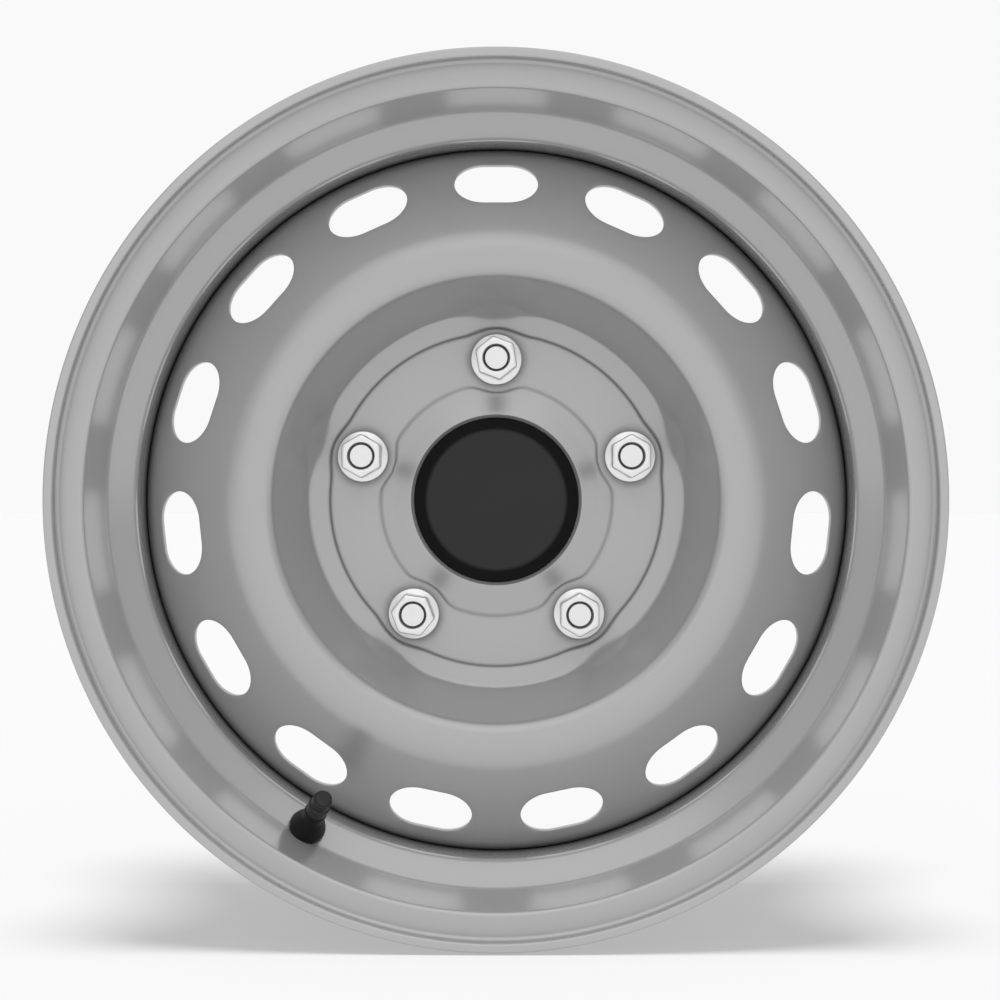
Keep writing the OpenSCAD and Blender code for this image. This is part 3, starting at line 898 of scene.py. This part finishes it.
        # The hub side is hidden, so every second point of it is enough.
        hub = section[half:half + 1] + section[half + 1::2] + section[:1]
        radii = (*self.pad_band, self.ledge_r, self.wall_r, *self.slot_band)
        shape = Shape()
        for n, (front, back) in enumerate(zip(cut_at(street, radii), cut_at(hub, radii))):
            if n in self.pierced:
                continue
            pressed = n < len(self.pressed_longest)
            longest = self.pressed_longest[n] if pressed else self.longest
            for v in shape.spin(divided(front, longest), self.steps):
                if pressed and polar(v.co)[0] > self.bore_r + self.boss_w:
                    v.co.z = self.emboss(street, v.co)
            shape.spin(divided(back, self.longest), self.steps)
        faces = {Side.STREET: street, Side.HUB: hub[::-1]}
        turns = (TURN * i / self.hole_points for i in range(self.hole_points))
        circle = tuple(Vector((math.sin(a), -math.cos(a))) * self.hole_r for a in turns)
        for band in (
                PiercedBand(self.studs, *self.pad_band, self.stud_ring_r, circle, self.hole_rows()),
                PiercedBand(self.slots, *self.slot_band, self.slot_ring_r, self.slot_outline(),
                            self.slot_rows())):
            band.lay(shape, self.steps // band.count, faces)
        # Paints the shade round the nuts and along the steps' creases, and the nuts' reflections by the bore.
        for v in shape.bm.verts:
            v[shape.painted_shade] = self.shade_and_reflection(v.co)
        return shape.piece("pressed_disc", "wheel_disc", Finishes.PRESSED)


@dataclass
class Welds:
    """Rippled fillet runs between the skirt's rear edge and the rim."""

    runs: int = 8
    run_deg: float = 27.0
    leg: float = 4.0
    ripples: int = 22
    ripple: float = 0.22
    outer_r: float = 172.3
    top_z: float = -3.0
    inset: float = 0.4
    throat: float = 0.82
    arc_points: int = 10

    def build(self) -> Object:
        """Spins each run, ripples it and returns the piece."""
        shape = Shape()
        span = math.radians(self.run_deg)
        steps = self.ripples * 8
        centre = Vector((self.outer_r - self.inset, self.top_z - self.inset))
        turns = (math.pi / 2 * i / self.arc_points for i in range(self.arc_points + 1))
        arc = [centre - Vector((math.cos(a), math.sin(a))) * (self.leg * self.throat) for a in turns]
        section = [Vector((self.outer_r, self.top_z))] + arc + [Vector((self.outer_r, self.top_z - self.leg))]
        for n in range(self.runs):
            start = math.pi / 2 + TURN * (n + 0.5) / self.runs - span / 2
            for v in shape.spin(section, steps, True, span, start):
                self.ripple_at(v, centre, start, span)
        shape.fill()
        return shape.piece("rippled_welds", "weld_beads", Finishes.WELD, sharp_deg=60)

    def ripple_at(self, v: Vert, centre: Point, start: float, span: float) -> None:
        """Moves one point of a run for its ripples and tapered ends.

        Args:
            v: The point.
            centre: Centre of the run's section.
            start: Where the run starts.
            span: How far it turns.
        """
        r, angle = polar(v.co)
        t = ((angle - start) % TURN) / span
        t = t if t < 1.5 else 0.0
        arm = Vector((r, v.co.z)) - centre
        wave = abs(math.sin(math.pi * (t * self.ripples + 0.12 * arm.y)))
        fade = min(1.0, (0.5 - abs(t - 0.5)) * 14 + 0.55)
        if arm.x < 0.2 and arm.y < 0.2:
            arm *= fade * (1 + self.ripple * (wave - 0.8))
        at = centre + arm
        v.co *= at.x / r
        v.co.z = at.y


@dataclass
class Nuts:
    """Five flanged hex nuts, cone seated and open at the end."""

    tips_deg: tuple[float, ...] = (9, 0, 21, 0, 0)
    ring_r: float = 69.85
    hex_af: float = 19.0
    bore_r: float = 6.05
    mouth_r: float = 6.75
    mouth_h: float = 2.6
    flange_r: float = 12.6
    flange_low: float = 4.7
    flange_t: float = 2.2
    top: float = 20.5
    cone: tuple[float, float] = (7.2, 1.2)
    cone_top_r: float = 9.22
    bevel: float = 0.45
    slope_h: float = 0.5
    blank_r: float = 11.0
    # Painted shade in the nut's mouth and bore.
    mouth_shade: float = 0.42
    steps: int = 96

    def outer_at(self, z: float, angle: float, tip_deg: float) -> float:
        """Gives the radius of the hexagon or of the flange's flat slope.

        Args:
            z: Height above the mounting face.
            angle: Angle round the nut.
            tip_deg: Turn of the hexagon from a corner at the top.

        Returns:
            The outer radius there, with rounded corners and a bevelled end.
        """
        sixth = math.pi / 3
        a = (angle - math.radians(90 + tip_deg)) % sixth - sixth / 2
        flat = self.hex_af / 2 - max(0.0, z - self.top + self.bevel)
        hexagon = smooth_min(flat / math.cos(a), flat / math.cos(sixth / 2) - 0.12, 0.5)
        edge = self.flange_r - 0.5
        drop = (z - self.flange_low - self.flange_t) / self.slope_h
        return max(hexagon, edge - drop * (edge + 0.5 - self.hex_af / 2 / math.cos(sixth / 2)))

    def section(self) -> tuple[list[Point], range]:
        """Returns the closed section and the range of its points that are shaped to a hexagon."""
        high = self.flange_low + self.flange_t
        low = [Bend(self.bore_r, self.cone[1]), Bend(*self.cone, 0.2),
               Bend(self.cone_top_r, self.flange_low, 0.3), Bend(self.flange_r, self.flange_low, 0.5),
               Bend(self.flange_r, high, 0.5), Bend(self.blank_r + 0.4, high)]
        points = outline(low, False)
        first = len(points) - 1
        levels = [high + 0.06 * i for i in range(1, 16)] + [high + 1 + i for i in range(12)]
        levels += [self.top - self.bevel + self.bevel * i / 4 for i in range(5)]
        points += [Vector((self.blank_r, z)) for z in levels]
        last = len(points)
        mouth = self.top - self.mouth_h
        inner = [Bend(7.9, self.top), Bend(self.mouth_r, self.top, 0.25), Bend(self.mouth_r, mouth, 0.2),
                 Bend(self.bore_r, mouth - 0.7), Bend(self.bore_r, self.cone[1] + 1)]
        return points + outline(inner, False), range(first, last)

    def build(self) -> Object:
        """Spins and shapes each nut and returns them as one piece."""
        shape = Shape()
        points, shaped = self.section()
        for i, tip_deg in enumerate(self.tips_deg):
            made = shape.spin(points, self.steps, True)
            low, high = points[shaped.start].y - 1e-4, points[shaped.stop - 1].y + 1e-4
            for v in made:
                r, angle = polar(v.co)
                if abs(r - self.blank_r) < 0.5 and low <= v.co.z <= high:
                    v.co.xy = v.co.xy * (self.outer_at(v.co.z, angle, tip_deg) / r)
                # Painted shade in the mouth and bore, where the stud's tip sits.
                if r < self.mouth_r + 0.02:
                    v[shape.painted_shade] = self.mouth_shade
            turn = math.radians(90 + 360 * i / len(self.tips_deg))
            bmesh.ops.translate(
                shape.bm, verts=made, vec=(self.ring_r * math.cos(turn), self.ring_r * math.sin(turn), 0))
        return shape.piece("flanged_nuts", "lug_nuts", Finishes.ZINC, sharp_deg=50)


@dataclass
class Studs:
    """Five double-ended studs with rolled threads."""

    count: int = 5
    ring_r: float = 69.85
    nut_r: float = 6.0
    hub_r: float = 7.0
    neck_r: float = 5.1
    nut_end_r: float = 5.66
    tip_l: float = 3.0
    hub_end: float = -5.4
    neck: tuple[float, float] = (-3.5, -0.5)
    chamfer: float = 1.2
    top: float = 18.9
    bottom: float = -27.0
    pitch: float = 1.5
    depth: float = 0.75
    # Painted shade on the tip that sits down in the nut's mouth.
    stud_tip_shade: float = 0.6
    steps: int = 40

    def thread(self, v: Vert, r0: float, low: float, high: float) -> None:
        """Cuts the thread into one point of a stud, fading out at both ends of its stretch.

        Args:
            v: The point.
            r0: Radius of the threaded stretch.
            low: Its lower end.
            high: Its upper end.
        """
        if low < v.co.z < high and polar(v.co)[0] >= r0 - 0.01:
            fade = min(1.0, v.co.z - low, high - v.co.z)
            v.co.xy = v.co.xy * (1 - thread_cut(v.co, self.pitch, self.depth) * fade / r0)

    def build(self) -> Object:
        """Spins and threads each stud and returns them as one piece."""
        shape = Shape()
        bends = [
            Bend(0, self.bottom), Bend(self.hub_r - self.chamfer, self.bottom, 0.4),
            Bend(self.hub_r, self.bottom + self.chamfer, 0.4), Bend(self.hub_r, self.hub_end, 0.4),
            Bend(self.neck_r, self.neck[0], 0.6), Bend(self.neck_r, self.neck[1], 0.6),
            Bend(self.nut_r, 0.4, 0.3), Bend(self.nut_r, self.top - self.tip_l - 0.4, 0.2),
            Bend(self.nut_end_r, self.top - self.tip_l, 0.2), Bend(self.nut_end_r, self.top, 0.35),
            Bend(0, self.top)]
        points = divided(outline(bends, False), 0.2)
        near = [p for p in points if p.x > 5.0]
        caps = [points[0]] + [Vector((r, self.bottom)) for r in (2.0, 4.0)]
        ends = [Vector((r, self.top)) for r in (4.0, 2.0)] + [points[-1]]
        for i in range(self.count):
            made = shape.spin(caps + near + ends, self.steps)
            for v in made:
                # Painted shade on the stud's tip, down in the nut's mouth.
                if self.top - self.tip_l + 0.1 < v.co.z < self.top - 0.4:
                    v[shape.painted_shade] = self.stud_tip_shade
                self.thread(v, self.hub_r, self.bottom + self.chamfer + 0.2, self.hub_end - 0.2)
            turn = Matrix.Rotation(math.radians(90 + 360 * i / self.count), 4, "Z")
            bmesh.ops.transform(
                shape.bm, verts=made, matrix=turn @ Matrix.Translation((self.ring_r, 0, 0)))
        return shape.piece("threaded_studs", "wheel_studs", Finishes.STUD, sharp_deg=60)


@dataclass
class Cap:
    """The black moulding in the bore, with its snap legs."""

    face_r: float = 34.6
    face_edge_r: float = 3.2
    height: float = 13.2
    wall: float = 1.8
    rim_r: float = 40.86
    rim_h: float = 6.0
    skirt_low: float = 5.16
    bore_back_h: float = 4.86
    leg_low: float = 0.26
    bore_r: float = 41.5
    hook: float = 0.9
    legs: int = 6
    leg_deg: float = 22.0
    leg_steps: int = 12
    # Painted shade on the rounded side that falls into the bore.
    side_shade: float = 0.9
    steps: int = 192

    def build(self) -> Object:
        """Spins the shell and its legs and returns the piece."""
        shape = Shape()
        inner = self.rim_r - self.wall
        shell = [
            Bend(0, self.height), Bend(self.face_r, self.height, self.face_edge_r),
            Bend(self.rim_r, self.rim_h + self.wall / 2, 0.5), Bend(self.rim_r, self.skirt_low, 0.2),
            Bend(inner, self.skirt_low, 0.1), Bend(inner, self.rim_h - 0.3, 0.3),
            Bend(self.face_r - self.wall / 2, self.height - self.wall, self.wall),
            Bend(0, self.height - self.wall)]
        for v in shape.spin(divided(outline(shell, False), 1.2), self.steps):
            # Painted shade darkens the rounded side beyond the flat face.
            v[shape.painted_shade] = self.side_shade * clamp((polar(v.co)[0] - self.face_r + 1.0) / 2.0)
        thin, leg_top = 0.15, self.skirt_low + 0.9
        out, hook_top = self.rim_r - thin, self.bore_back_h - 0.5
        leg = [
            Bend(inner + thin, leg_top), Bend(out, leg_top), Bend(out, hook_top, 0.3),
            Bend(self.bore_r + self.hook, hook_top - self.hook, 0.3),
            Bend(self.bore_r + self.hook, hook_top - 2 * self.hook, 0.3),
            Bend(inner + thin + 0.6, self.leg_low, 0.2), Bend(inner + thin, self.leg_low, 0.2)]
        span = math.radians(self.leg_deg)
        for i in range(self.legs):
            start = math.pi / 2 + TURN * i / self.legs - span / 2
            shape.spin(outline(leg, True), self.leg_steps, True, span, start)
        shape.fill()
        return shape.piece("snap_in_cap", "centre_cap", Finishes.CAP)


@dataclass
class Valve:
    """The snap-in tyre valve, along its own axis from the street side of the slanted wall."""

    at_deg: float = 240.0
    wall_deg: float = 48.0
    seat_r: float = 180.7038
    seat_z: float = 49.2841
    rim_t: float = 3.4
    hole_r: float = 5.65
    bulge_r: float = 8.8
    neck_r: float = 5.4
    rubber_l: float = 18.0
    length: float = 31.5
    foot_r: float = 9.2
    foot_l: float = 5.5
    stem_r: float = 3.85
    shank_r: float = 3.25
    cap_r: float = 5.1
    cap_end: float = 1.4
    tier_l: float = 7.6
    ribs: int = 24
    rib: float = 0.1
    pitch: float = 0.8
    thread_depth: float = 0.35
    spring_turns: int = 7
    spring_r: float = 1.15
    spring_keep: float = 0.64
    steps: int = 72

    @property
    def place(self) -> Matrix:
        """Returns the valve's place in the upright wheel, in millimetres."""
        return (UPRIGHT @ Matrix.Rotation(math.radians(self.at_deg), 4, "Z")
                @ Matrix.Translation((self.seat_r, 0, self.seat_z))
                @ Matrix.Rotation(math.radians(self.wall_deg - 90), 4, "Y"))

    @property
    def stem_top(self) -> float:
        """Returns the height of the stem's open end."""
        return self.length - self.cap_end - 0.7

    def rubber(self) -> Object:
        """Builds the moulded rubber: foot, groove, bell and neck."""
        shape = Shape()
        fit, top, low = self.hole_r - 0.05, -self.rim_t - 0.1, -self.rim_t - self.foot_l
        bends = [
            Bend(self.shank_r - 1, low), Bend(self.foot_r - 1.6, low, 1.2), Bend(self.foot_r, top - 2.2, 1.5),
            Bend(self.foot_r - 1.4, top, 0.6), Bend(fit, top, 0.2), Bend(fit, 0.1, 0.2),
            Bend(self.bulge_r - 0.2, 0.5, 0.4), Bend(self.bulge_r, 2.6, 1.0),
            Bend(self.bulge_r - 0.6, 4.6, 2.0), Bend(self.neck_r, self.rubber_l - 6, 6.0),
            Bend(self.neck_r, self.rubber_l, 0.6),
            Bend(self.shank_r, self.rubber_l), Bend(self.shank_r, low + 1), Bend(self.shank_r - 1, low + 1)]
        shape.spin(divided(outline(bends, True), 2.0, True), self.steps, True)
        return shape.piece("moulded_rubber", "valve_body", Finishes.RUBBER, place=self.place)

    def stem(self) -> Object:
        """Builds the brass stem with its cap thread."""
        shape = Shape()
        low, step, bore, seat = -self.rim_t - self.foot_l + 1, self.rubber_l + 0.1, 1.9, 2.55
        core_low = self.stem_top - 6.6
        bends = [
            Bend(bore, low), Bend(self.shank_r, low), Bend(self.shank_r, step), Bend(self.stem_r, step, 0.1),
            Bend(self.stem_r, self.stem_top - 0.5, 0.1), Bend(self.stem_r - 0.5, self.stem_top, 0.1),
            Bend(seat, self.stem_top), Bend(seat, core_low), Bend(bore, core_low)]
        for v in shape.spin(divided(outline(bends, True), 0.2, True), 48, True):
            if step + 0.6 < v.co.z < self.stem_top - 0.6 and polar(v.co)[0] > self.stem_r - 0.05:
                cut = thread_cut(v.co, self.pitch, self.thread_depth)
                v.co.xy = v.co.xy * (1 - cut / self.stem_r)
        return shape.piece("threaded_stem", "valve_stem", Finishes.BRASS, place=self.place, sharp_deg=60)

    def cap(self) -> Object:
        """Builds the screw cap with its grip ribs."""
        shape = Shape()
        low, inside, r, end = self.rubber_l + 0.4, self.stem_r + 0.25, self.cap_r, self.length
        bends = [
            Bend(inside, low), Bend(r, low, 0.3), Bend(r, end - self.tier_l, 0.4),
            Bend(r - 0.5, end - self.tier_l + 0.4, 0.3), Bend(r - 0.55, end - 2.4, 0.4),
            Bend(r - 0.9, end - 2.1, 0.3), Bend(r - 1.0, end, 1.3), Bend(0, end),
            Bend(0, end - self.cap_end), Bend(inside, end - self.cap_end)]
        for v in shape.spin(divided(outline(bends, True), 0.7, True), self.ribs * 8, True):
            r, angle = polar(v.co)
            if r > inside + 0.5 and low + 0.6 < v.co.z < end - self.tier_l - 0.2:
                v.co.xy = v.co.xy * (1 + self.rib * math.cos(self.ribs * angle) / r)
        return shape.piece("ribbed_cap", "valve_cap", Finishes.VALVE_CAP, Body.VALVE_CAP, self.place)

    def spring(self) -> Object:
        """Builds the coil that holds the pin out."""
        shape = Shape()
        low, length, wire = 16.0, 4.2, 0.15
        ring = [Vector((self.spring_r + wire * math.cos(a), low + wire + wire * math.sin(a)))
                for a in (TURN * i / 8 for i in range(8))]
        shape.spin(ring, 20 * self.spring_turns, True, TURN * self.spring_turns, 0.0, length - 2 * wire)
        shape.fill()
        piece = shape.piece("pin_spring", "valve_spring", Finishes.SPRING, place=self.place)
        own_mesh(piece)
        return piece

    def build(self) -> None:
        """Builds the valve's pieces and finishes the nodes that stay as they are."""
        for make in (self.rubber, self.stem, self.cap, self.spring):
            make()
        for name, finish in (("valve_core", Finishes.BRASS), ("valve_pin", Finishes.BRASS),
                             ("valve_cap_seal", Finishes.SEAL)):
            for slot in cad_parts[name].material_slots:
                slot.material = Finishes.of(finish)
            LOG.info("%s: kept, new finish", name)


@dataclass(frozen=True)
class Sun:
    """A soft light from far away: irradiance, width and height in the sky, and whether metal mirrors it."""

    name: str
    strength: float
    spread_deg: float
    elevation_deg: float
    glossy: bool = False

    def build(self) -> Object:
        """Adds the light on the street side and returns it."""
        light = bpy.data.lights.new(self.name, "SUN")
        light.energy = self.strength
        light.angle = math.radians(self.spread_deg)
        obj = add(self.name, light)
        e = math.radians(self.elevation_deg)
        obj.rotation_euler = Vector((0.0, -math.cos(e), math.sin(e))).to_track_quat("Z", "Y").to_euler()
        obj.visible_glossy = self.glossy
        return obj


@dataclass
class Studio:
    """Floor, light and camera."""

    floor_z: float = -0.2081
    floor_half: float = 30.0
    white: float = 0.947
    side_tone: float = 0.6
    front_tone: float = 1.1
    side_reach: tuple[float, float] = (-0.35, 0.0)
    front_reach: tuple[float, float] = (0.68, 0.985)
    suns: tuple[Sun, ...] = (
        Sun("overhead_light", 0.9, 70, 72), Sun("sky_light", 0.5, 70, 60, True),
        Sun("street_light", 0.3, 60, 12))
    floor_sun: Sun = Sun("floor_light", 12.0, 26, 80)
    floor_glow: float = 0.43
    floor_albedo: float = 0.1085
    camera_at: tuple[float, float, float] = (0.0048, -1.0347, 0.0006)
    pitch_deg: float = -0.036
    yaw_deg: float = 0.168
    lens_mm: float = 74.5

    def floor(self) -> None:
        """Lays the plain pale floor."""
        bm = bmesh.new()
        bmesh.ops.create_grid(bm, x_segments=8, y_segments=8, size=self.floor_half)
        bmesh.ops.translate(bm, verts=bm.verts[:], vec=(0, 0, self.floor_z))
        data = bpy.data.meshes.new("floor")
        bm.to_mesh(data)
        bm.free()
        obj = add("floor", data)
        shader = Shader("floor_white")
        tone = self.floor_albedo
        shader.surface(Base_Color=(tone, tone, tone, 1.0), Roughness=0.9, Specular_IOR_Level=0.0,
                       Emission_Color=(1.0, 1.0, 1.0, 1.0), Emission_Strength=self.floor_glow)
        data.materials.append(shader.material)
        ground = bpy.data.collections.new("ground")
        ground.objects.link(obj)
        self.floor_sun.build().light_linking.receiver_collection = ground

    def light(self) -> None:
        """Sets the white surround, which mirrors brightest towards the street, and the soft lights."""
        world = bpy.data.worlds.new("white_surround")
        bpy.context.scene.world = world
        world.use_nodes = True
        nodes = Nodes(world.node_tree)
        at = nodes.node("ShaderNodeTexCoord", {}, {})
        street = nodes.node("ShaderNodeSeparateXYZ", {}, {"Vector": at}, 1) * -1.0
        seen = nodes.node("ShaderNodeLightPath", {}, {})
        tone: Socket | float = 0.0
        for (start, end), low, high in ((self.side_reach, 1.0, self.side_tone),
                                        (self.front_reach, 0.0, self.front_tone - self.side_tone)):
            tone = tone + nodes.node("ShaderNodeMapRange", {"interpolation_type": "SMOOTHSTEP"}, {
                "Value": street, "From Min": start, "From Max": end, "To Min": low, "To Max": high})
        back = nodes.tree.nodes["Background"]
        feed(back.inputs["Strength"], self.white)
        feed(back.inputs["Color"], tone + (1.0 - tone) * seen)
        for sun in self.suns:
            sun.build()

    def camera(self) -> None:
        """Places the camera as the photograph was taken."""
        data = bpy.data.cameras.new("camera")
        data.lens = self.lens_mm
        data.sensor_width = 36.0
        data.dof.use_dof = False
        obj = add("camera", data)
        obj.location = self.camera_at
        obj.rotation_euler = (math.radians(90 + self.pitch_deg), 0, math.radians(self.yaw_deg))
        bpy.context.scene.camera = obj
        bpy.context.scene.view_settings.view_transform = "Standard"

    def build(self) -> None:
        """Sets up the studio."""
        self.camera()
        self.light()
        self.floor()


def main() -> None:
    """Builds the wheel's pieces in order."""
    logging.basicConfig(level=logging.INFO, format="%(name)s %(message)s")
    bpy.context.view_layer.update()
    for part in (Studio, Rim, Disc, Welds, Nuts, Studs, Cap, Valve):
        part().build()


if __name__ == "__main__":
    main()
